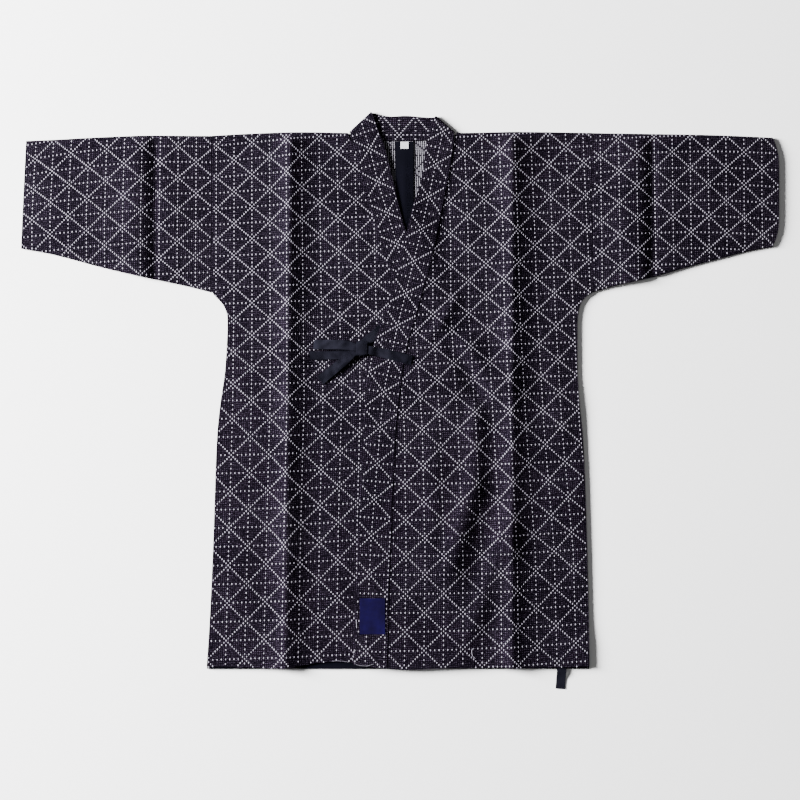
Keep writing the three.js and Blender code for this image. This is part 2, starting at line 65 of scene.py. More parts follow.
floor_form = bmesh.new()
bmesh.ops.create_grid(floor_form, x_segments=1, y_segments=1, size=FLOOR_HALF)
floor_mesh = bpy.data.meshes.new("floor")
floor_form.to_mesh(floor_mesh)
floor_form.free()
floor_mesh.transform(Matrix.Translation((0, 0, -FLOOR_DROP)))
floor = bpy.data.objects.new("floor", floor_mesh)
bpy.context.scene.collection.objects.link(floor)
board = bpy.data.materials.new("pale board")
board.use_nodes = True
paint = board.node_tree.nodes["Principled BSDF"]
paint.inputs["Base Color"].default_value = FLOOR_COLOUR
paint.inputs["Roughness"].default_value = FLOOR_ROUGHNESS
floor_mesh.materials.append(board)

# Studio light: one broad lamp low on the left that rakes over the folds, a faint one above,
# and a pale room all round.
LAMPS = [
    {"name": "raking lamp", "place": (-4.2, 1.0, 1.6), "size": 1.9, "power": 2650},
    {"name": "top lamp", "place": (-0.3, 0.2, 3.4), "size": 3.0, "power": 8},
]
ROOM_LIGHT = 0.1

for row in LAMPS:
    light = bpy.data.lights.new(row["name"], "AREA")
    light.shape = "DISK"
    light.size = row["size"]
    light.energy = row["power"]
    lamp = bpy.data.objects.new(row["name"], light)
    lamp.location = row["place"]
    lamp.rotation_euler = (-Vector(row["place"])).to_track_quat("-Z", "Y").to_euler()
    bpy.context.scene.collection.objects.link(lamp)
room = bpy.data.worlds.new("pale room")
room.use_nodes = True
room.node_tree.nodes["Background"].inputs["Color"].default_value = (1, 1, 1, 1)
room.node_tree.nodes["Background"].inputs["Strength"].default_value = ROOM_LIGHT
bpy.context.scene.world = room

# The body is two lengths of heavy navy cotton, each one piece from the back hem over the shoulder to
# the front hem, joined down the back and pressed flat but for an upright crease in each front and
# soft folds that the tie pulls in. White floats in the weave make diamonds, crossed by dotted lines.
FRONT_ABOVE = 2.15 * MM
SAME_POINT = 0.002 * MM
FLAT_PAIR = 30
SQUARE_PAIR = 120
SHARP_EDGE = 50
RIM_ROUND = 0.45 * MM
RIM_STEPS = 2
FINE_LEVELS = 2
SHOULDER_Y = 424.5 * MM
SHOULDER_FADE = 16 * MM

# Each ridge or trough: its two ends in mm, its height, and how fast it falls away on either side
BODY_FOLDS = {"crease": [
    {"x0": -173.2, "y0": 470, "x1": -182.9, "y1": -470, "height": 7.4, "left": 34, "right": 47},
    {"x0": 176.9, "y0": 470, "x1": 177.0, "y1": -470, "height": 7.2, "left": 38, "right": 55},
], "soft": [
    {"x0": 78, "y0": 92, "x1": 134, "y1": -4, "height": -2.3, "left": 13, "right": 13},
    {"x0": 100, "y0": 96, "x1": 158, "y1": 8, "height": 7.4, "left": 15, "right": 26},
    {"x0": 121, "y0": -6, "x1": 120, "y1": -150, "height": 6.2, "left": 16, "right": 20},
    {"x0": 119, "y0": -130, "x1": 74, "y1": -275, "height": 5.8, "left": 16, "right": 20},
    {"x0": 168, "y0": -200, "x1": 112, "y1": -372, "height": 5.2, "left": 15, "right": 20},
    {"x0": 62, "y0": 116, "x1": 92, "y1": 168, "height": 1.8, "left": 9, "right": 9},
    {"x0": 40, "y0": 94, "x1": 70, "y1": 128, "height": 1.8, "left": 8, "right": 9},
    {"x0": 36, "y0": 30, "x1": 88, "y1": -22, "height": 1.6, "left": 11, "right": 11},
    {"x0": 55, "y0": -60, "x1": 50, "y1": -250, "height": 2.0, "left": 18, "right": 14},
    {"x0": -284, "y0": 410, "x1": -284, "y1": 215, "height": -0.5, "left": 12, "right": 16},
    {"x0": -120, "y0": 110, "x1": -160, "y1": 55, "height": 1.3, "left": 14, "right": 12},
    {"x0": -100, "y0": 150, "x1": -60, "y1": 250, "height": 1.2, "left": 22, "right": 20},
    {"x0": -260, "y0": 60, "x1": -205, "y1": -120, "height": 1.0, "left": 20, "right": 20},
    {"x0": -250, "y0": -180, "x1": -262, "y1": -400, "height": 1.0, "left": 18, "right": 20},
    {"x0": -110, "y0": -90, "x1": -95, "y1": -330, "height": 1.2, "left": 26, "right": 20},
    {"x0": 232, "y0": 120, "x1": 262, "y1": -70, "height": 1.4, "left": 16, "right": 12},
    {"x0": 248, "y0": -130, "x1": 222, "y1": -330, "height": 1.2, "left": 18, "right": 16},
    {"x0": 120, "y0": 380, "x1": 96, "y1": 230, "height": 1.0, "left": 18, "right": 20},
]}

# How the weave runs on each piece. For every few half-cells along it: where its middle column
# lies, how wide half a cell is, and how the row lifts and bows to each side of that column, in mm
WEAVE_RUN = {
    "body_panel_right": {"crease": (-173.2, -182.9), "gather": 2.7, "rows": [
        {"row": -19, "x": -218.8, "pitch": 30.2, "y": -408.6, "rise": 1.1, "bow": 0.02},
        {"row": -12, "x": -213.9, "pitch": 29.8, "y": -199.8, "rise": 1.3, "bow": 0.12},
        {"row": -5, "x": -208.4, "pitch": 29.7, "y": 0.9, "rise": 0.6, "bow": 0.07},
        {"row": 2, "x": -208.4, "pitch": 28.7, "y": 181.6, "rise": 0.9, "bow": 0.0},
        {"row": 12, "x": -209.7, "pitch": 28.0, "y": 437.6, "rise": 2.6, "bow": -0.09},
    ]},
    "body_panel_left": {"crease": (176.9, 177.0), "gather": 2.6, "rows": [
        {"row": -19, "x": 128.2, "pitch": 31.1, "y": -452.6, "rise": 1.4, "bow": 0.07},
        {"row": -12, "x": 127.4, "pitch": 30.0, "y": -244.9, "rise": 0.9, "bow": 0.14},
        {"row": -5, "x": 117.9, "pitch": 28.3, "y": -44.3, "rise": 0.7, "bow": 0.01},
        {"row": 2, "x": 106.6, "pitch": 28.5, "y": 138.9, "rise": 1.1, "bow": 0.0},
        {"row": 7, "x": 105.7, "pitch": 27.7, "y": 267.1, "rise": 1.6, "bow": -0.1},
        {"row": 14, "x": 98.2, "pitch": 27.6, "y": 443.6, "rise": 1.5, "bow": 0.02},
    ]},
    "sleeve_right": {"crease": (-387, -387), "gather": 0, "rows": [
        {"row": -5, "x": -468.5, "pitch": 28.8, "y": 168.8, "rise": 2.4, "bow": -0.14},
        {"row": 0, "x": -468.0, "pitch": 28.9, "y": 297.2, "rise": 2.1, "bow": -0.16},
        {"row": 5, "x": -464.1, "pitch": 28.3, "y": 424.1, "rise": 2.6, "bow": -0.37},
    ]},
    "sleeve_left": {"crease": (402, 402), "gather": 0, "rows": [
        {"row": -5, "x": 463.3, "pitch": 28.4, "y": 190.7, "rise": -0.1, "bow": -0.26},
        {"row": 0, "x": 460.9, "pitch": 28.3, "y": 317.5, "rise": 0.1, "bow": -0.25},
        {"row": 5, "x": 460.0, "pitch": 28.5, "y": 446.2, "rise": 0.6, "bow": -0.19},
    ]},
}
GATHER_REACH = 12
TOP_Y = 420
LOW_Y = -425
GATHER_ROUNDS = 5
WEAVE_ROUNDS = 8

# A fold's crest is this round, a soft one dies away over a third of its length at either end, and
# beside a valley the cloth stands up over this spread, lower on its far side
FOLD_TIP = 1.2
FOLD_ENDS = 3
VALLEY_SPREAD = 34
FAR_CREST = 0.35


def smooth(value):
    t = np.clip(value, 0, 1)
    return t * t * (3 - 2 * t)


# Height that one fold adds at any places, all in mm
def fold_height(kind, fold, x, y):
    run = np.array([fold["x1"] - fold["x0"], fold["y1"] - fold["y0"]], float)
    length = np.hypot(*run)
    run /= length
    along = ((x - fold["x0"]) * run[0] + (y - fold["y0"]) * run[1]) / length
    off = (x - fold["x0"]) * -run[1] + (y - fold["y0"]) * run[0]
    if run[1] > 0:
        off = -off
    reach = np.where(off < 0, fold["left"], fold["right"])
    near = np.minimum((np.sqrt(off * off + FOLD_TIP * FOLD_TIP) - FOLD_TIP) / reach, 1)
    if kind == "crease":
        return fold["height"] * (1 - near) ** 2
    if kind == "valley":
        crest = np.where(off < 0, 1.0, FAR_CREST)
        rest = np.maximum(np.abs(off) - reach, 0)
        return fold["height"] * crest * (1 - (1 - near) ** 2) * np.exp(-(rest / VALLEY_SPREAD) ** 2)
    ends = smooth(along * FOLD_ENDS + 0.5) * smooth((1 - along) * FOLD_ENDS + 0.5)
    return fold["height"] * np.exp(-(off / reach) ** 2) * ends


# A node's own form as a mesh of even cells with rounded rims, its front layer marked
def fine_form(node, name, levels=FINE_LEVELS):
    form = bmesh.new()
    form.from_mesh(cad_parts[node].data)
    bmesh.ops.remove_doubles(form, verts=form.verts, dist=SAME_POINT)
    bmesh.ops.join_triangles(form, faces=form.faces, angle_face_threshold=math.radians(FLAT_PAIR),
                             angle_shape_threshold=math.radians(SQUARE_PAIR))
    crease = form.edges.layers.float.new("crease_edge")
    front = form.verts.layers.float.new("front")
    for edge in form.edges:
        if edge.calc_face_angle(0) > math.radians(SHARP_EDGE):
            edge[crease] = 1
    for vert in form.verts:
        vert[front] = 1 if vert.co.z > FRONT_ABOVE else 0
    mesh = bpy.data.meshes.new(name)
    form.to_mesh(mesh)
    form.free()
    piece = bpy.data.objects.new(name, mesh)
    bpy.context.scene.collection.objects.link(piece)
    fine = piece.modifiers.new("fine", "SUBSURF")
    fine.levels = levels
    fine.render_levels = levels
    rim = piece.modifiers.new("rim", "BEVEL")
    rim.width = RIM_ROUND
    rim.segments = RIM_STEPS
    rim.limit_method = "ANGLE"
    rim.angle_limit = math.radians(SHARP_EDGE)
    settle(piece)
    return piece


# Turns a piece's modifiers into plain mesh
def settle(piece):
    graph = bpy.context.evaluated_depsgraph_get()
    mesh = bpy.data.meshes.new_from_object(piece.evaluated_get(graph), depsgraph=graph)
    piece.modifiers.clear()
    piece.data = mesh
    mesh.name = piece.name


# Smooth shading that leaves the flat of the cloth flat beside its rounded rims
def flatten_shading(piece):
    piece.data.shade_smooth()
    piece.data.set_sharp_from_angle(angle=math.radians(SHARP_EDGE))
    even = piece.modifiers.new("even", "WEIGHTED_NORMAL")
    even.keep_sharp = True
    settle(piece)


def points_of(mesh):
    flat = np.empty(len(mesh.vertices) * 3)
    mesh.vertices.foreach_get("co", flat)
    return flat.reshape(-1, 3)


def move_points(mesh, points):
    mesh.vertices.foreach_set("co", points.ravel())
    mesh.update()


def front_marks(mesh):
    marks = np.empty(len(mesh.vertices))
    mesh.attributes["front"].data.foreach_get("value", marks)
    return marks


# Lifts the front layer by the folds that cross it, fading out at the fold of the shoulder
def add_folds(piece, folds):
    points = points_of(piece.data)
    x = points[:, 0] / MM
    y = points[:, 1] / MM
    lift = sum(fold_height(kind, fold, x, y) for kind, rows in folds.items() for fold in rows)
    lift *= smooth((SHOULDER_Y - points[:, 1]) / SHOULDER_FADE)
    points[:, 2] += lift * MM * front_marks(piece.data)
    move_points(piece.data, points)


# How far the cloth is drawn towards the crease, in mm
def gathered(run, x, y):
    top, low = run["crease"]
    middle = low + (top - low) * (y - LOW_Y) / (TOP_Y - LOW_Y)
    return -run["gather"] * np.tanh((x - middle) / GATHER_REACH)


# A table's column at any place along it; beyond its ends it goes on at the last slope
def along_table(rows, name, at, key):
    keys = [row[key] for row in rows]
    values = [row[name] for row in rows]
    first = (values[1] - values[0]) / (keys[1] - keys[0])
    last = (values[-1] - values[-2]) / (keys[-1] - keys[-2])
    before = np.minimum(at - keys[0], 0) * first
    after = np.maximum(at - keys[-1], 0) * last
    return np.interp(at, keys, values) + before + after


def column_of(run, name, at, key="row"):
    return along_table(run["rows"], name, at, key)


# Places in the weave, in cells, of places on the cloth in mm
def weave_at(run, x, y):
    across = np.zeros_like(x)
    along = np.zeros_like(y)
    for _ in range(WEAVE_ROUNDS):
        lift = column_of(run, "rise", along) * across + column_of(run, "bow", along) * across ** 2
        along = column_of(run, "row", y - lift, key="y")
        middle = column_of(run, "x", along) + gathered(run, x, y)
        across = (x - middle) / column_of(run, "pitch", along)
    return across / 2, along / 2


# Places on the cloth in mm of places in the weave, in cells
def cloth_at(run, across, along):
    half_across = across * 2
    half_along = along * 2
    y = (column_of(run, "y", half_along) + column_of(run, "rise", half_along) * half_across
         + column_of(run, "bow", half_along) * half_across ** 2)
    flat = column_of(run, "x", half_along) + column_of(run, "pitch", half_along) * half_across
    x = flat.copy()
    for _ in range(GATHER_ROUNDS):
        x = flat + gathered(run, x, y)
    return x, y


# Lays the weave on a piece as a map of its own, one unit to a cell
def lay_weave(piece, across, along):
    layer = piece.data.uv_layers.new(name="Weave")
    corners = np.empty(len(piece.data.loops), int)
    piece.data.loops.foreach_get("vertex_index", corners)
    places = np.stack([across[corners], along[corners]], 1)
    layer.data.foreach_set("uv", places.ravel())


OVAL_EDGE = 1.45


class Wiring:
    """Small sums wired up as nodes."""

    def __init__(self, tree):
        self.tree = tree

    def put(self, kind, **settings):
        node = self.tree.nodes.new(kind)
        for key, value in settings.items():
            setattr(node, key, value)
        return node

    def join(self, source, target):
        if isinstance(source, (int, float, tuple)):
            target.default_value = source
        else:
            self.tree.links.new(source, target)

    def sum(self, how, *values):
        node = self.put("ShaderNodeMath", operation=how)
        for value, socket in zip(values, node.inputs):
            self.join(value, socket)
        return node.outputs[0]

    def noise(self, place, scale, detail=2.0, dimensions="3D"):
        node = self.put("ShaderNodeTexNoise", noise_dimensions=dimensions)
        self.join(place, node.inputs["Vector"])
        self.join(scale, node.inputs["Scale"])
        self.join(detail, node.inputs["Detail"])
        return node.outputs[0]

    def blend(self, factor, first, second):
        node = self.put("ShaderNodeMix", data_type="RGBA")
        self.join(factor, node.inputs["Factor"])
        self.join(first, node.inputs["A"])
        self.join(second, node.inputs["B"])
        return node.outputs["Result"]

    def bump(self, strength, distance, height):
        node = self.put("ShaderNodeBump")
        self.join(strength, node.inputs["Strength"])
        self.join(distance, node.inputs["Distance"])
        self.join(height, node.inputs["Height"])
        return node.outputs[0]

    # Distance to the nearest multiple of a step, with its sign
    def nearest(self, value, step, shift=0.0):
        moved = self.sum("ADD", value, step / 2 - shift)
        return self.sum("SUBTRACT", self.sum("FLOORED_MODULO", moved, step), step / 2)

    # 1 inside a soft-edged oval, 0 outside
    def oval(self, dx, dy, half_wide, half_long):
        wide = self.sum("POWER", self.sum("DIVIDE", dx, half_wide), 2.0)
        long = self.sum("POWER", self.sum("DIVIDE", dy, half_long), 2.0)
        edge = self.sum("SUBTRACT", OVAL_EDGE, self.sum("ADD", wide, long))
        return self.sum("MINIMUM", self.sum("MAXIMUM", edge, 0.0), 1.0)


# A new group of shader nodes with named sockets, ready to be wired
def shader_group(name, vectors, numbers, outputs):
    group = bpy.data.node_groups.new(name, "ShaderNodeTree")
    for label in vectors:
        group.interface.new_socket(label, in_out="INPUT", socket_type="NodeSocketVector")
    for label in numbers:
        group.interface.new_socket(label, in_out="INPUT", socket_type="NodeSocketFloat")
    for label in outputs:
        group.interface.new_socket(label, in_out="OUTPUT", socket_type="NodeSocketFloat")
    wire = Wiring(group)
    return wire, wire.put("NodeGroupInput"), wire.put("NodeGroupOutput")


# Puts a group into a material with its own values
def put_group(wire, group, **values):
    node = wire.put("ShaderNodeGroup", node_tree=group)
    for label, value in values.items():
        wire.join(value, node.inputs[label])
    return node


# The weave, counted in threads, so many to a cell: half sizes of a float, how far the dotted lines
# keep clear of the diamonds' corners, the threads of the inside, and the specks of the ground
CELL_STEPS = 18
UPRIGHT_FLOATS = 8
UPRIGHT_STEP = CELL_STEPS / UPRIGHT_FLOATS
DOT_STEP = 2
DOT_REACH = 6
FLOAT_SPOT = (0.3, 0.56)
CORNER_CLEAR = 2.2
STRIPE_HALF = 0.18
STRIPE_GAP = 0.2
GAP_SHARE = 0.6
SWAY_SCALE = 3.0
SWAY = 1.6
SPECK_SPOT = (0.24, 0.2)
ROW_STEP = 0.5
ROW_HALF = 0.1
ROW_SHARE = 0.17
UNEVEN = {"scale": 27.0, "gain": 5.2, "shift": -2.0, "least": 0.06}
SPECK_RELIEF = 0.6
ROW_RELIEF = 0.4


# The weave as a node group: reads a place in cells, and gives the mask of the white floats seen
# from outside, that of the threads seen from inside, the fine specks of the ground and their height
def weave_group():
    cell = float(CELL_STEPS)
    masks_out = ["Floats", "Reverse", "Ground", "Height"]
    wire, start, end = shader_group("diamond weave", ["Place"], ["Speck"], masks_out)
    place = start.outputs["Place"]
    split = wire.put("ShaderNodeSeparateXYZ")
    wire.join(place, split.inputs[0])
    across = wire.sum("MULTIPLY", split.outputs["X"], cell)
    along = wire.sum("MULTIPLY", split.outputs["Y"], cell)

    masks = []
    for sign in (1.0, -1.0):
        turned = wire.sum("MULTIPLY", along, sign)
        off = wire.nearest(wire.sum("SUBTRACT", across, turned), cell)
        run = wire.nearest(wire.sum("MULTIPLY", wire.sum("ADD", across, turned), 0.5), 1.0)
        half_off = wire.sum("MULTIPLY", off, 0.5)
        aside = wire.sum("ADD", run, half_off)
        ahead = wire.sum("SUBTRACT", run, half_off)
        masks.append(wire.oval(aside, ahead, *FLOAT_SPOT))
    column = wire.nearest(across, cell / 2)
    masks.append(wire.oval(column, wire.nearest(along, UPRIGHT_STEP), *FLOAT_SPOT))
    for level in (0.0, cell / 2):
        middle = cell / 2 - level
        aside = wire.nearest(across, float(DOT_STEP), middle % DOT_STEP)
        dots = wire.oval(aside, wire.nearest(along, cell, level), *FLOAT_SPOT)
        clear = wire.sum("ABSOLUTE", wire.nearest(across, cell, level))
        masks.append(wire.sum("MULTIPLY", dots, wire.sum("GREATER_THAN", clear, CORNER_CLEAR)))
    floats = masks[0]
    for mask in masks[1:]:
        floats = wire.sum("MAXIMUM", floats, mask)
    wire.join(floats, end.inputs["Floats"])

    stripe = wire.oval(wire.nearest(across, 1.0), 0.0, STRIPE_HALF, 1.0)
    gap = wire.sum("MULTIPLY", wire.oval(0.0, wire.nearest(along, 1.0), 1.0, STRIPE_GAP), GAP_SHARE)
    white = wire.sum("MULTIPLY", stripe, wire.sum("SUBTRACT", 1.0, gap))
    wire.join(wire.sum("MULTIPLY", white, wire.sum("SUBTRACT", 1.0, floats)), end.inputs["Reverse"])

    shade = wire.noise(place, UNEVEN["scale"], dimensions="2D")
    sway = wire.noise(place, SWAY_SCALE, dimensions="2D")
    swayed = wire.sum("MULTIPLY_ADD", sway, SWAY, along)
    specks = wire.oval(wire.nearest(across, 1.0), wire.nearest(swayed, 1.0), *SPECK_SPOT)
    rows = wire.oval(0.0, wire.nearest(swayed, ROW_STEP), 1.0, ROW_HALF)
    mixed = wire.sum("MULTIPLY", specks, start.outputs["Speck"])
    mixed = wire.sum("ADD", mixed, wire.sum("MULTIPLY", rows, ROW_SHARE))
    uneven = wire.sum("MULTIPLY_ADD", shade, UNEVEN["gain"], UNEVEN["shift"])
    uneven = wire.sum("MAXIMUM", uneven, UNEVEN["least"])
    wire.join(wire.sum("MULTIPLY", mixed, uneven), end.inputs["Ground"])
    raised = wire.sum("MULTIPLY", specks, SPECK_RELIEF)
    wire.join(wire.sum("ADD", raised, wire.sum("MULTIPLY", rows, ROW_RELIEF)), end.inputs["Height"])
    return wire.tree


# Patches where cotton is more or less worn, as a node group
def wear_group():
    numbers = ["Scale", "Detail", "Gain", "Shift", "Least"]
    wire, start, end = shader_group("worn cotton", ["Place"], numbers, ["Wear"])
    told = start.outputs
    patches = wire.noise(told["Place"], told["Scale"], told["Detail"])
    worn = wire.sum("MAXIMUM", wire.sum("MULTIPLY_ADD", patches, told["Gain"], told["Shift"]), 0.0)
    wire.join(wire.sum("ADD", worn, told["Least"]), end.inputs["Wear"])
    return wire.tree


# A new material with its shader's plain values set, ready to be wired
def cotton_material(name, roughness, gloss):
    material = bpy.data.materials.new(name)
    material.use_nodes = True
    surface = material.node_tree.nodes["Principled BSDF"]
    surface.inputs["Roughness"].default_value = roughness
    surface.inputs["Specular IOR Level"].default_value = gloss
    wire = Wiring(material.node_tree)
    return material, wire, surface, wire.put("ShaderNodeTexCoord").outputs["Object"]


GROUND_DARK = (0.0005, 0.00025, 0.0012, 1)
GROUND_PALE = (0.053, 0.040, 0.063, 1)
THREAD_WHITE = (0.3, 0.29, 0.33, 1)
CLOTH_ROUGHNESS = 0.9
CLOTH_GLOSS = 0.01
SPECK_SHARE = 0.68
CLOTH_WEAR = {"Scale": 14.0, "Detail": 3.0, "Gain": 1.8, "Shift": 0.1, "Least": 0.0}
BUMP_STRENGTH = 0.5
CLOTH_RELIEF = 0.25 * MM
WEAVE_GROUP = weave_group()
WEAR_GROUP = wear_group()


# Woven cotton. shown is the group's mask that is white on this face, or None where the floats stand
# up from it as threads of their own
def woven_cotton(name, shown=None):
    material, wire, surface, spot = cotton_material(name, CLOTH_ROUGHNESS, CLOTH_GLOSS)
    place = wire.put("ShaderNodeUVMap", uv_map="Weave").outputs[0]
    weave = put_group(wire, WEAVE_GROUP, Place=place, Speck=SPECK_SHARE).outputs
    wear = put_group(wire, WEAR_GROUP, Place=spot, **CLOTH_WEAR).outputs["Wear"]
    colour = wire.blend(wire.sum("MULTIPLY", weave["Ground"], wear), GROUND_DARK, GROUND_PALE)
    height = weave["Height"]
    if shown:
        colour = wire.blend(weave[shown], colour, THREAD_WHITE)
        height = wire.sum("ADD", height, weave[shown])
    wire.join(colour, surface.inputs["Base Color"])
    wire.join(wire.bump(BUMP_STRENGTH, CLOTH_RELIEF, height), surface.inputs["Normal"])
    return material


OUTER = woven_cotton("woven cotton")
UNDERSIDE = woven_cotton("woven cotton, floats flat", "Floats")
REVERSE = woven_cotton("woven cotton, inside", "Reverse")
FACING = 0.3
UNDER_FACE = 0.6 * MM
INNER_FACE = 2.4 * MM


# Gives each face of a piece of cloth the look of the side of the weave that it shows
def dress_cloth(piece, inner):
    mesh = piece.data
    for material in (OUTER, UNDERSIDE, inner):
        mesh.materials.append(material)
    for face in mesh.polygons:
        down = face.normal.z < -FACING
        up = face.normal.z > FACING
        if down and face.center.z < UNDER_FACE:
            face.material_index = 1
        elif (up and face.center.z < INNER_FACE) or (down and face.center.z >= UNDER_FACE):
            face.material_index = 2
    flatten_shading(piece)


# Hangs a finished piece on the root body and hides the node that it stands for
def place_piece(piece, node):
    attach(piece, "root")
    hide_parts(node)


SEAM_REACH = 9 * MM
SEAM_DROP = 0.6 * MM
ABOVE = 12 * MM
DOWN = Vector((0, 0, -1))


# The left front is sewn to the band's edge, so along that seam its top rises to just below the
# band's, which leaves the thin dark line of the seam
def meet_band(piece):
    ribbon = BVHTree.FromObject(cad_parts["collar_band"], bpy.context.evaluated_depsgraph_get())
    skin = BVHTree.FromObject(piece, bpy.context.evaluated_depsgraph_get())
    points = points_of(piece.data)
    for index in np.flatnonzero(front_marks(piece.data) > 0.5):
        x, y, z = points[index]
        near = ribbon.find_nearest(Vector((x, y, ABOVE)), SEAM_REACH + ABOVE)[0]
        top = skin.ray_cast(Vector((x, y, 3 * ABOVE)), DOWN)[0]
        if near is None or top is None:
            continue
        gap = math.hypot(near.x - x, near.y - y) / SEAM_REACH
        if gap < 1:
            points[index, 2] += max(0.0, near.z - SEAM_DROP - top.z) * (1 - gap) ** 2
    move_points(piece.data, points)


BODY_CUT = {
    "body_panel_right": {"flat": (0.307, 1.695), "area": 0.504},
    "body_panel_left": {"flat": (0.300, 1.695), "area": 0.483},
}
cloth_pieces = {}


# Folds one panel or sleeve, lays the weave on it and puts it in place
def make_cloth(node, folds):
    piece = fine_form(node, f"{node}_cloth")
    add_folds(piece, folds)
    if node == "body_panel_left":
        meet_band(piece)
    spots = points_of(piece.data) / MM
    lay_weave(piece, *weave_at(WEAVE_RUN[node], spots[:, 0], spots[:, 1]))
    dress_cloth(piece, REVERSE)
    place_piece(piece, node)
    cloth_pieces[node] = piece


for node, cut in BODY_CUT.items():
    make_cloth(node, BODY_FOLDS)

# The sleeves are flat tubes of the same cotton, folded along the top and sewn underneath. Each has
# one upright crease where it was folded away, with the cloth rising softly on both sides of it.
SLEEVE_FOLDS = {"valley": [
    {"x0": -387, "y0": 430, "x1": -388, "y1": 150, "height": 6.4, "left": 25, "right": 5},
    {"x0": 402, "y0": 430, "x1": 402, "y1": 150, "height": 5.4, "left": 25, "right": 5},
], "soft": [
    {"x0": -540, "y0": 380, "x1": -520, "y1": 270, "height": 1.0, "left": 22, "right": 18},
    {"x0": -440, "y0": 250, "x1": -500, "y1": 330, "height": 1.1, "left": 18, "right": 18},
    {"x0": 470, "y0": 380, "x1": 500, "y1": 280, "height": 1.1, "left": 20, "right": 18},
    {"x0": 350, "y0": 360, "x1": 345, "y1": 240, "height": 0.8, "left": 14, "right": 14},
]}

for node in ("sleeve_right", "sleeve_left"):
    make_cloth(node, SLEEVE_FOLDS)

# The band is one long strip of the same cotton, folded double and sewn from one front hem round
# the neck to the other, so the weave runs along it. Crossings of the weave follow its middle line.
BAND_RUNS = {
    "right": [
        {"cell": -1, "x": -64, "y": 451},
        {"cell": 0, "x": -47.7, "y": 399.4},
        {"cell": 1, "x": -35.1, "y": 347.2},
        {"cell": 3, "x": -4.8, "y": 248.5},
        {"cell": 6, "x": 38, "y": 95},
        {"cell": 9, "x": 50, "y": -70},
        {"cell": 16, "x": 55, "y": -480},
    ],
    "left": [
        {"cell": -1, "x": 80, "y": 479},
        {"cell": 0, "x": 68.3, "y": 426.6},
        {"cell": 3, "x": 34.6, "y": 271.7},
        {"cell": 6, "x": -3.5, "y": 118.9},
        {"cell": 8, "x": -25.4, "y": 13.5},
        {"cell": 9, "x": -31.0, "y": -42.1},
        {"cell": 12, "x": -45.3, "y": -214.5},
        {"cell": 16, "x": -57.0, "y": -458},
    ],
    "neck": [
        {"cell": -2, "x": -105.1, "y": 421.6},
        {"cell": 0, "x": -1.1, "y": 421.6},
        {"cell": 2, "x": 102.9, "y": 421.6},
    ],
}
BAND_CELL_WIDE = 59
BAND_STEP = 0.5
BAND_START = 3.0
BAND_ROUNDS = 25
BAND_EASE = 0.7
NECK_TOP = 3.3
LAP_TOP = 6.9
LAP_Y = 300
LAP_X = 7


# Which stretch of the band a place belongs to, with its height, all in mm
def side_of_band(x, y, z):
    left = np.where(y > LAP_Y, x > LAP_X, z > LAP_TOP)
    return np.where(z < NECK_TOP, "neck", np.where(left, "left", "right"))


# Places on the band in mm of places in the weave, in cells
def band_at(run, across, along):
    x = along_table(run, "x", along, "cell")
    y = along_table(run, "y", along, "cell")
    ahead = along + BAND_STEP
    behind = along - BAND_STEP
    dx = along_table(run, "x", ahead, "cell") - along_table(run, "x", behind, "cell")
    dy = along_table(run, "y", ahead, "cell") - along_table(run, "y", behind, "cell")
    length = np.hypot(dx, dy)
    return x - dy / length * across * BAND_CELL_WIDE, y + dx / length * across * BAND_CELL_WIDE


# Places in the weave, in cells, of places on the band in mm, found by easing towards them
def band_weave(run, x, y):
    along = np.full_like(x, BAND_START)
    across = np.zeros_like(x)
    for _ in range(BAND_ROUNDS):
        px, py = band_at(run, 0 * along, along)
        ahead = band_at(run, 0 * along, along + BAND_STEP)
        behind = band_at(run, 0 * along, along - BAND_STEP)
        dx = (ahead[0] - behind[0]) / (2 * BAND_STEP)
        dy = (ahead[1] - behind[1]) / (2 * BAND_STEP)
        square = dx * dx + dy * dy
        along = along + BAND_EASE * ((x - px) * dx + (y - py) * dy) / square
        across = ((x - px) * -dy + (y - py) * dx) / np.sqrt(square) / BAND_CELL_WIDE
    return across, along


band = fine_form("collar_band", "collar_band_cloth")
spots = points_of(band.data) / MM
places = {side: band_weave(BAND_RUNS[side], spots[:, 0], spots[:, 1]) for side in BAND_RUNS}
sides = side_of_band(*spots.T)
lies_on = [sides == side for side in BAND_RUNS]
across = np.select(lies_on, [places[side][0] for side in BAND_RUNS])
along = np.select(lies_on, [places[side][1] for side in BAND_RUNS])
lay_weave(band, across, along)
dress_cloth(band, UNDERSIDE)
for face in band.data.polygons:
    if face.normal.z > FACING:
        face.material_index = 0
place_piece(band, "collar_band")
cloth_pieces["collar_band"] = band

# Narrow tapes of plain cotton, dark slate navy: the two outer ties with the bow that they make, and
# the inner tie, sewn on at their hidden ends. Flat, ribbed along their length, a little napped.
TAPE_DARK = (0.0009, 0.0009, 0.0024, 1)
TAPE_PALE = (0.0128, 0.0125, 0.0195, 1)
TAPE_ROUGHNESS = 0.8
TAPE_GLOSS = 0.02
TAPE_RELIEF = 0.15 * MM
TAPE_RIB = 1.1 * MM
PICK_PITCH = 0.55
BASE_SHADE = 0.4
RIB_SHADE = 0.22
PICK_SHADE = 0.1
PICK_RELIEF = 0.5
TAPE_NAP = {"Scale": 90.0, "Detail": 4.0, "Gain": 0.9, "Shift": 0.15, "Least": 0.0}
TAPE_WEAR = {"Scale": 38.0, "Detail": 2.0, "Gain": 4.2, "Shift": -1.45, "Least": 0.45}
TAPE_LEVELS = 3


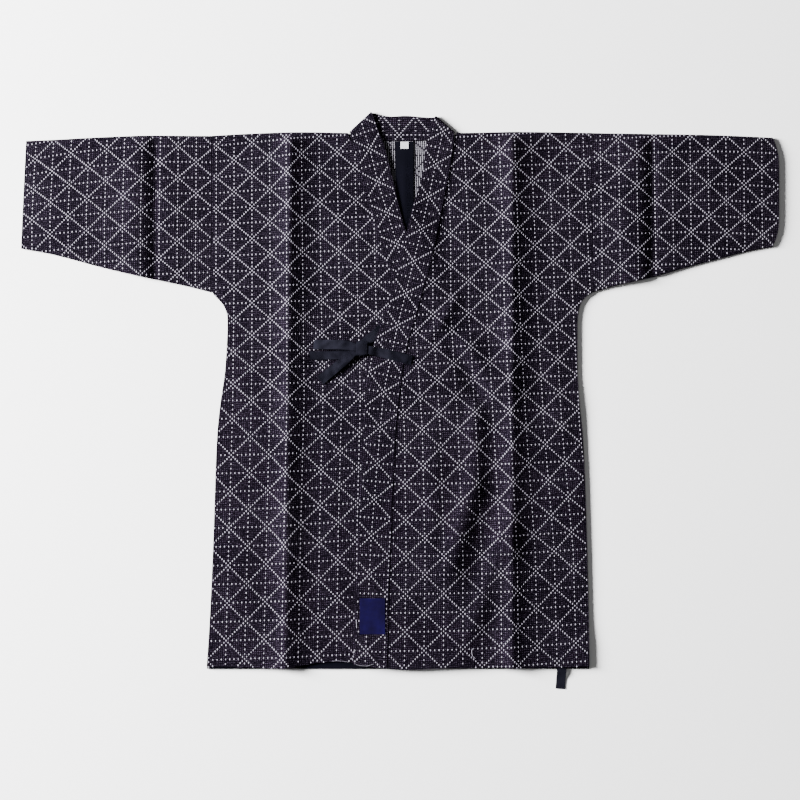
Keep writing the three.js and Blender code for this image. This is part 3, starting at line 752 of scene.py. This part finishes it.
# The ribs that run along a tape and the picks across them, as a node group: reads a place turned to
# lie along the tape and the width of a rib, and gives their shade and their height
def ribs_group():
    wire, start, end = shader_group("ribbed tape", ["Turned"], ["Rib"], ["Shade", "Height"])
    split = wire.put("ShaderNodeSeparateXYZ")
    wire.join(start.outputs["Turned"], split.inputs[0])
    pace = wire.sum("DIVIDE", 2 * math.pi, start.outputs["Rib"])
    ribs = wire.sum("SINE", wire.sum("MULTIPLY", split.outputs["Y"], pace))
    pick_pace = wire.sum("DIVIDE", pace, PICK_PITCH)
    picks = wire.sum("SINE", wire.sum("MULTIPLY", split.outputs["X"], pick_pace))
    shade = wire.sum("MULTIPLY_ADD", ribs, RIB_SHADE, BASE_SHADE)
    wire.join(wire.sum("ADD", shade, wire.sum("MULTIPLY", picks, PICK_SHADE)), end.inputs["Shade"])
    raised = wire.sum("MULTIPLY", picks, PICK_RELIEF)
    wire.join(wire.sum("ADD", ribs, raised), end.inputs["Height"])
    return wire.tree


RIBS_GROUP = ribs_group()


def plain_tape(name, dark, pale, angle, rib, roughness=TAPE_ROUGHNESS):
    material, wire, surface, spot = cotton_material(name, roughness, TAPE_GLOSS)
    turn = wire.put("ShaderNodeMapping")
    turn.inputs["Rotation"].default_value = (0, 0, -math.radians(angle))
    wire.join(spot, turn.inputs["Vector"])
    weave = put_group(wire, RIBS_GROUP, Turned=turn.outputs[0], Rib=rib).outputs
    nap = put_group(wire, WEAR_GROUP, Place=spot, **TAPE_NAP).outputs["Wear"]
    worn = put_group(wire, WEAR_GROUP, Place=spot, **TAPE_WEAR).outputs["Wear"]
    shade = wire.sum("MULTIPLY", weave["Shade"], wire.sum("MULTIPLY", nap, worn))
    wire.join(wire.blend(shade, dark, pale), surface.inputs["Base Color"])
    wire.join(wire.bump(BUMP_STRENGTH, TAPE_RELIEF, weave["Height"]), surface.inputs["Normal"])
    return material


def tape_piece(node, angle, levels=TAPE_LEVELS,
               pale=TAPE_PALE):
    piece = fine_form(node, f"{node}_tape", levels)
    piece.data.materials.append(plain_tape(f"{node} cotton tape", TAPE_DARK, pale, angle, TAPE_RIB))
    flatten_shading(piece)
    place_piece(piece, node)
    return piece


# Which way each runs, in degrees, how dented it is, in mm, and its cut in metres
TAPES = [
    {"node": "tie_right", "angle": 37, "rumple": 1.1,
     "flat": (0.0145, 0.0665), "held": "laid", "on": "body_panel_right"},
    {"node": "tie_left", "angle": 167, "rumple": 1.3,
     "flat": (0.0135, 0.0775), "held": "laid", "on": "collar_band"},
    {"node": "bow_tail_short", "angle": 2, "rumple": 1.0,
     "flat": (0.013, 0.088), "held": "laid", "on": "body_panel_right"},
    {"node": "bow_tail_long", "angle": 40, "rumple": 1.4,
     "flat": (0.0145, 0.083), "held": "laid", "on": "body_panel_right"},
    {"node": "bow_loop", "angle": 0, "rumple": 1.1,
     "flat": (0.0145, 0.15), "held": "folded", "on": "body_panel_right"},
    {"node": "bow_knot", "angle": 90, "rumple": 0.5,
     "flat": (0.0175, 0.055), "held": "folded", "on": "body_panel_right"},
    {"node": "tie_inner", "angle": 90, "rumple": 0.2,
     "flat": (0.015, 0.445), "held": "laid", "on": "body_panel_left"},
]
RUMPLE_LENGTH = 4.6 * MM
RUMPLE_SWAY = (1.3, 0.7)
RUMPLE_PACE = (0.8, 1.1)
RUMPLE_STRETCH = 0.9
RUMPLE_START = 0.6
KNOT_SIDE = -33 * MM
KNOT_RAMP = 16 * MM
KNOT_LIFT = 2.6 * MM


# Soft dents of a tape that has been tied many times, all raised from where it lies. The left tie
# also climbs onto the knot at its end.
def rumple(piece, height):
    points = points_of(piece.data)
    x = points[:, 0] / RUMPLE_LENGTH
    y = points[:, 1] / RUMPLE_LENGTH
    dents = np.sin(x + RUMPLE_SWAY[0] * np.sin(RUMPLE_PACE[0] * y))
    dents *= np.sin(RUMPLE_STRETCH * y + RUMPLE_SWAY[1] * np.sin(RUMPLE_PACE[1] * x) + RUMPLE_START)
    points[:, 2] += height * MM * (1 + dents) / 2
    if piece.name.startswith("tie_left"):
        points[:, 2] += KNOT_LIFT * smooth((KNOT_SIDE - points[:, 0]) / KNOT_RAMP)
    move_points(piece.data, points)


for row in TAPES:
    piece = tape_piece(row["node"], row["angle"])
    rumple(piece, row["rumple"])

# Inside the back, a wider tape covers the centre seam and stands up a little over it, but for its
# top under the tag, and a narrow ribbed strip faces the hem. Both are painted darker than the ties:
# this is painted shade, for the shade that falls inside the open fronts.
BACK_LEVELS = 2
# Painted shade: the ties' pale tone darkened for the shade inside the back
SHADED_PALE = (0.0021, 0.002, 0.0048, 1)
SEAM_RIDGE = 1.5 * MM
TAPE_HALF = 14.4 * MM
TAPE_FACE = 3.0 * MM
TAG_LOW = 398 * MM
TAG_CLEAR = 30 * MM

back_tape = tape_piece("back_seam_tape", 90,
                       levels=BACK_LEVELS, pale=SHADED_PALE)
ridge = points_of(back_tape.data)
middle = (ridge[:, 0].min() + ridge[:, 0].max()) / 2
rise = SEAM_RIDGE * np.clip(1 - np.abs(ridge[:, 0] - middle) / TAPE_HALF, 0, 1)
rise *= smooth((TAG_LOW - ridge[:, 1]) / TAG_CLEAR)
ridge[:, 2] += np.where(ridge[:, 2] > TAPE_FACE, rise, 0)
move_points(back_tape.data, ridge)
tape_piece("hem_facing", 0, levels=BACK_LEVELS,
           pale=SHADED_PALE)

# The small tag at the top of the tape is white woven tape, and the label near the hem is deep blue,
# woven close with fine upright ribs. Both are plain and sewn down at their edges.
TAG_WHITE = (0.58, 0.58, 0.58, 1)
TAG_SHADE = (0.4, 0.4, 0.4, 1)
LABEL_DARK = (0.0014, 0.0006, 0.008, 1)
LABEL_BLUE = (0.0068, 0.0022, 0.05, 1)
LABEL_RIB = 0.9 * MM
LABEL_LEVELS = 3
TAG_ROUGHNESS = 0.7
LABEL_ROUGHNESS = 0.55

tag = fine_form("size_tag", "size_tag_tape")
tag.data.materials.append(plain_tape("white tag", TAG_SHADE, TAG_WHITE, 0, LABEL_RIB, TAG_ROUGHNESS))
place_piece(tag, "size_tag")

label = fine_form("hem_label", "hem_label_tape", LABEL_LEVELS)
label_cloth = plain_tape("blue label", LABEL_DARK, LABEL_BLUE, 90, LABEL_RIB, LABEL_ROUGHNESS)
label.data.materials.append(label_cloth)
flatten_shading(label)
place_piece(label, "hem_label")

# The white floats of the weave: short soft threads that stand up from the cloth where it shows,
# laid out by the same chart as the weave, each turned to lie along it.
FLOAT_LONG = 3.0 * MM
FLOAT_WIDE = 1.9 * MM
FLOAT_HIGH = 0.15 * MM
FLOAT_SIDES = 8
FLOAT_FOOT = 0.5
FLOAT_CROWN = 0.38
FLOAT_VARIES = (0.86, 1.1)
FLOAT_SEED = 7
LEAST_FACING = 0.4
COVER_GAP = 0.05 * MM
EDGE_CLEAR = 1.3 * MM
CAST_FROM = 60 * MM


# Places of the floats in one cell, in cells
def float_chart():
    half = CELL_STEPS // 2
    spots = set()
    for k in range(CELL_STEPS):
        spots.add((k, k))
        spots.add((k, (-k) % CELL_STEPS))
    for column in (0, half):
        for k in range(UPRIGHT_FLOATS):
            spots.add((column, (k * UPRIGHT_STEP) % CELL_STEPS))
    for level in (0, half):
        middle = half - level
        for offset in range(-DOT_REACH, DOT_REACH + 1, DOT_STEP):
            spots.add(((middle + offset) % CELL_STEPS, level))
    return np.array(sorted(spots), float) / CELL_STEPS


# Puts one thread at every point, sized by the named inputs and turned by the point's own turn
def float_tree():
    tree = bpy.data.node_groups.new("woven floats", "GeometryNodeTree")
    face = tree.interface
    face.new_socket("Geometry", in_out="INPUT", socket_type="NodeSocketGeometry")
    for name in ("Length", "Width", "Height"):
        face.new_socket(name, in_out="INPUT", socket_type="NodeSocketFloat")
    face.new_socket("Seed", in_out="INPUT", socket_type="NodeSocketInt")
    face.new_socket("Thread", in_out="INPUT", socket_type="NodeSocketMaterial")
    face.new_socket("Geometry", in_out="OUTPUT", socket_type="NodeSocketGeometry")
    wire = Wiring(tree)
    start = wire.put("NodeGroupInput")
    end = wire.put("NodeGroupOutput")
    bead = wire.put("GeometryNodeMeshCone")
    bead.inputs["Vertices"].default_value = FLOAT_SIDES
    bead.inputs["Radius Top"].default_value = FLOAT_CROWN
    bead.inputs["Radius Bottom"].default_value = FLOAT_FOOT
    bead.inputs["Depth"].default_value = 1.0
    spread = wire.put("FunctionNodeRandomValue", data_type="FLOAT")
    least, most = [socket for socket in spread.inputs if socket.type == "VALUE"][:2]
    least.default_value, most.default_value = FLOAT_VARIES
    varied = next(socket for socket in spread.outputs if socket.type == "VALUE")
    wire.join(start.outputs["Seed"], spread.inputs["Seed"])
    size = wire.put("ShaderNodeCombineXYZ")
    scaled = wire.put("ShaderNodeVectorMath", operation="SCALE")
    wire.join(start.outputs["Width"], size.inputs["X"])
    wire.join(start.outputs["Length"], size.inputs["Y"])
    wire.join(start.outputs["Height"], size.inputs["Z"])
    wire.join(size.outputs[0], scaled.inputs[0])
    wire.join(varied, scaled.inputs["Scale"])
    turn = wire.put("GeometryNodeInputNamedAttribute", data_type="FLOAT_VECTOR")
    turn.inputs["Name"].default_value = "turn"
    dots = wire.put("GeometryNodeInstanceOnPoints")
    wire.join(start.outputs["Geometry"], dots.inputs["Points"])
    wire.join(bead.outputs["Mesh"], dots.inputs["Instance"])
    wire.join(turn.outputs["Attribute"], dots.inputs["Rotation"])
    wire.join(scaled.outputs[0], dots.inputs["Scale"])
    real = wire.put("GeometryNodeRealizeInstances")
    wire.join(dots.outputs[0], real.inputs[0])
    soft = wire.put("GeometryNodeSetShadeSmooth")
    wire.join(real.outputs[0], soft.inputs["Geometry"])
    paint = wire.put("GeometryNodeSetMaterial")
    wire.join(soft.outputs[0], paint.inputs["Geometry"])
    wire.join(start.outputs["Thread"], paint.inputs["Material"])
    wire.join(paint.outputs[0], end.inputs[0])
    return tree


FIBRE_SHADE = (0.13, 0.12, 0.15, 1)
FIBRE_WHITE = (0.29, 0.27, 0.32, 1)
FIBRE_SCALE = 420.0
FIBRE_ROUGHNESS = 0.8
FIBRE_GLOSS = 0.1


def white_thread():
    material, wire, surface, spot = cotton_material("white thread", FIBRE_ROUGHNESS, FIBRE_GLOSS)
    colour = wire.blend(wire.noise(spot, FIBRE_SCALE), FIBRE_SHADE, FIBRE_WHITE)
    wire.join(colour, surface.inputs["Base Color"])
    return material


# A piece's faces, ready for rays
def tree_of(obj):
    points = [vert.co for vert in obj.data.vertices]
    return BVHTree.FromPolygons(points, [tuple(face.vertices) for face in obj.data.polygons])


# Sets a modifier's input by the identifier of the socket of that name
def set_input(modifier, name, value):
    for item in modifier.node_group.interface.items_tree:
        if item.item_type == "SOCKET" and item.in_out == "INPUT" and item.name == name:
            modifier[item.identifier] = value


skins = {name: tree_of(piece) for name, piece in cloth_pieces.items()}
covers = {obj.name: tree_of(obj) for obj in bpy.data.objects
          if obj.type == "MESH" and obj.name.endswith(("_tape", "_cloth"))}
FLOATS = float_tree()
WHITE_THREAD = white_thread()
ASIDE = [Vector((dx, dy, 0)) * EDGE_CLEAR for dx, dy in ((1, 0), (-1, 0), (0, 1), (0, -1))]
chart = float_chart()


# Whether any other piece lies over a place
def is_covered(own, start, place):
    for other, tree in covers.items():
        hit = None if other == own else tree.ray_cast(start, DOWN)[0]
        if hit is not None and hit.z > place.z + COVER_GAP:
            return True
    return False


# Floats on one piece, at the given places in mm, with the direction of the weave at each. stretch
# keeps them to one stretch of the band.
def raise_floats(node, name, x, y, ahead_x, ahead_y, stretch=None):
    skin = skins[node]
    spots = []
    turns = []
    for px, py, ax, ay in zip(x * MM, y * MM, ahead_x * MM, ahead_y * MM):
        start = Vector((px, py, CAST_FROM))
        place, normal, _, _ = skin.ray_cast(start, DOWN)
        if place is None or normal.z < LEAST_FACING:
            continue
        if stretch and side_of_band(*(place / MM)) != stretch:
            continue
        if any(skin.ray_cast(start + shift, DOWN)[0] is None for shift in ASIDE):
            continue
        if node.startswith(("body", "sleeve")) and place.z < INNER_FACE:
            continue
        if is_covered(cloth_pieces[node].name, start, place):
            continue
        along = Vector((ax - px, ay - py, 0))
        along -= normal * along.dot(normal)
        along.normalize()
        side = along.cross(normal)
        turn = Matrix((side, along, normal)).transposed()
        spots.append(place)
        turns.append(turn.to_euler())
    mesh = bpy.data.meshes.new(name)
    mesh.from_pydata(spots, [], [])
    turned = mesh.attributes.new("turn", "FLOAT_VECTOR", "POINT")
    turned.data.foreach_set("vector", np.array(turns, float).ravel())
    piece = bpy.data.objects.new(name, mesh)
    bpy.context.scene.collection.objects.link(piece)
    make = piece.modifiers.new("floats", "NODES")
    make.node_group = FLOATS
    set_input(make, "Length", FLOAT_LONG)
    set_input(make, "Width", FLOAT_WIDE)
    set_input(make, "Height", FLOAT_HIGH)
    set_input(make, "Seed", FLOAT_SEED)
    set_input(make, "Thread", WHITE_THREAD)
    settle(piece)
    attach(piece, "root")


# Every float's place in the cells from low to high
def floats_in(low, high):
    cells = [(i, j) for i in range(low[0], high[0] + 1) for j in range(low[1], high[1] + 1)]
    across = np.concatenate([chart[:, 0] + i for i, j in cells])
    along = np.concatenate([chart[:, 1] + j for i, j in cells])
    return across, along


FLOAT_CELLS = {
    "body_panel_right": ((-4, -12), (6, 7)),
    "body_panel_left": ((-6, -12), (5, 8)),
    "sleeve_right": ((-4, -4), (4, 4)),
    "sleeve_left": ((-4, -4), (4, 4)),
}
BAND_CELLS = {"right": ((-2, -1), (1, 15)), "left": ((-2, -1), (1, 15)), "neck": ((-2, -2), (1, 1))}
NUDGE = 0.02

for node, (low, high) in FLOAT_CELLS.items():
    across, along = floats_in(low, high)
    x, y = cloth_at(WEAVE_RUN[node], across, along)
    ahead_x, ahead_y = cloth_at(WEAVE_RUN[node], across, along + NUDGE)
    raise_floats(node, f"{node}_floats", x, y, ahead_x, ahead_y)

for side, (low, high) in BAND_CELLS.items():
    across, along = floats_in(low, high)
    x, y = band_at(BAND_RUNS[side], across, along)
    ahead_x, ahead_y = band_at(BAND_RUNS[side], across, along + NUDGE)
    raise_floats("collar_band", f"collar_band_floats_{side}", x, y, ahead_x, ahead_y, side)

# White sewing thread that shows: the slack stitching of the turned-up front hem, a few stitches
# beside the label, and a loose end. Each is a thin round thread that lies on the cloth.
THREADS = [
    {"width": 0.32, "places": [(-108, -413.6), (-100, -412.8), (-91, -413.4), (-82, -414.8)]},
    {"width": 0.36, "places": [(-72, -416.2), (-66, -419.0), (-59, -420.1),
                               (-52, -420.3), (-46, -418.6), (-42, -417.4)]},
    {"width": 0.8, "places": [(-69.3, -347), (-68.9, -353), (-68.6, -360.5)]},
    {"width": 0.8, "places": [(-72.4, -394), (-72.0, -398), (-73.0, -403)]},
    {"width": 0.9, "places": [(-75.6, -409), (-74.8, -412), (-74.2, -415.5)]},
    {"width": 0.7, "places": [(117, -393), (114.5, -394.5), (113.8, -400),
                              (115.5, -405), (119.5, -409)]},
]
THREAD_LIFT = 0.25 * MM
THREAD_STEPS = 8
THREAD_ROUND = 1


def lay_thread(name, places, width):
    curve = bpy.data.curves.new(name, "CURVE")
    curve.dimensions = "3D"
    curve.bevel_depth = width * MM / 2
    curve.bevel_resolution = THREAD_ROUND
    curve.use_fill_caps = True
    curve.resolution_u = THREAD_STEPS
    strand = curve.splines.new("BEZIER")
    strand.bezier_points.add(len(places) - 1)
    for point, (x, y) in zip(strand.bezier_points, places):
        start = Vector((x * MM, y * MM, CAST_FROM))
        hits = [tree.ray_cast(start, DOWN)[0] for tree in skins.values()]
        top = max(hit.z for hit in hits if hit is not None)
        point.co = (x * MM, y * MM, top + THREAD_LIFT)
        point.handle_left_type = "AUTO"
        point.handle_right_type = "AUTO"
    thread = bpy.data.objects.new(name, curve)
    bpy.context.scene.collection.objects.link(thread)
    graph = bpy.context.evaluated_depsgraph_get()
    mesh = bpy.data.meshes.new_from_object(thread.evaluated_get(graph), depsgraph=graph)
    bpy.data.objects.remove(thread)
    mesh.materials.clear()
    mesh.materials.append(WHITE_THREAD)
    solid = bpy.data.objects.new(name, mesh)
    bpy.context.scene.collection.objects.link(solid)
    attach(solid, "root")


for number, row in enumerate(THREADS):
    lay_thread(f"sewing_thread_{number}", row["places"], row["width"])
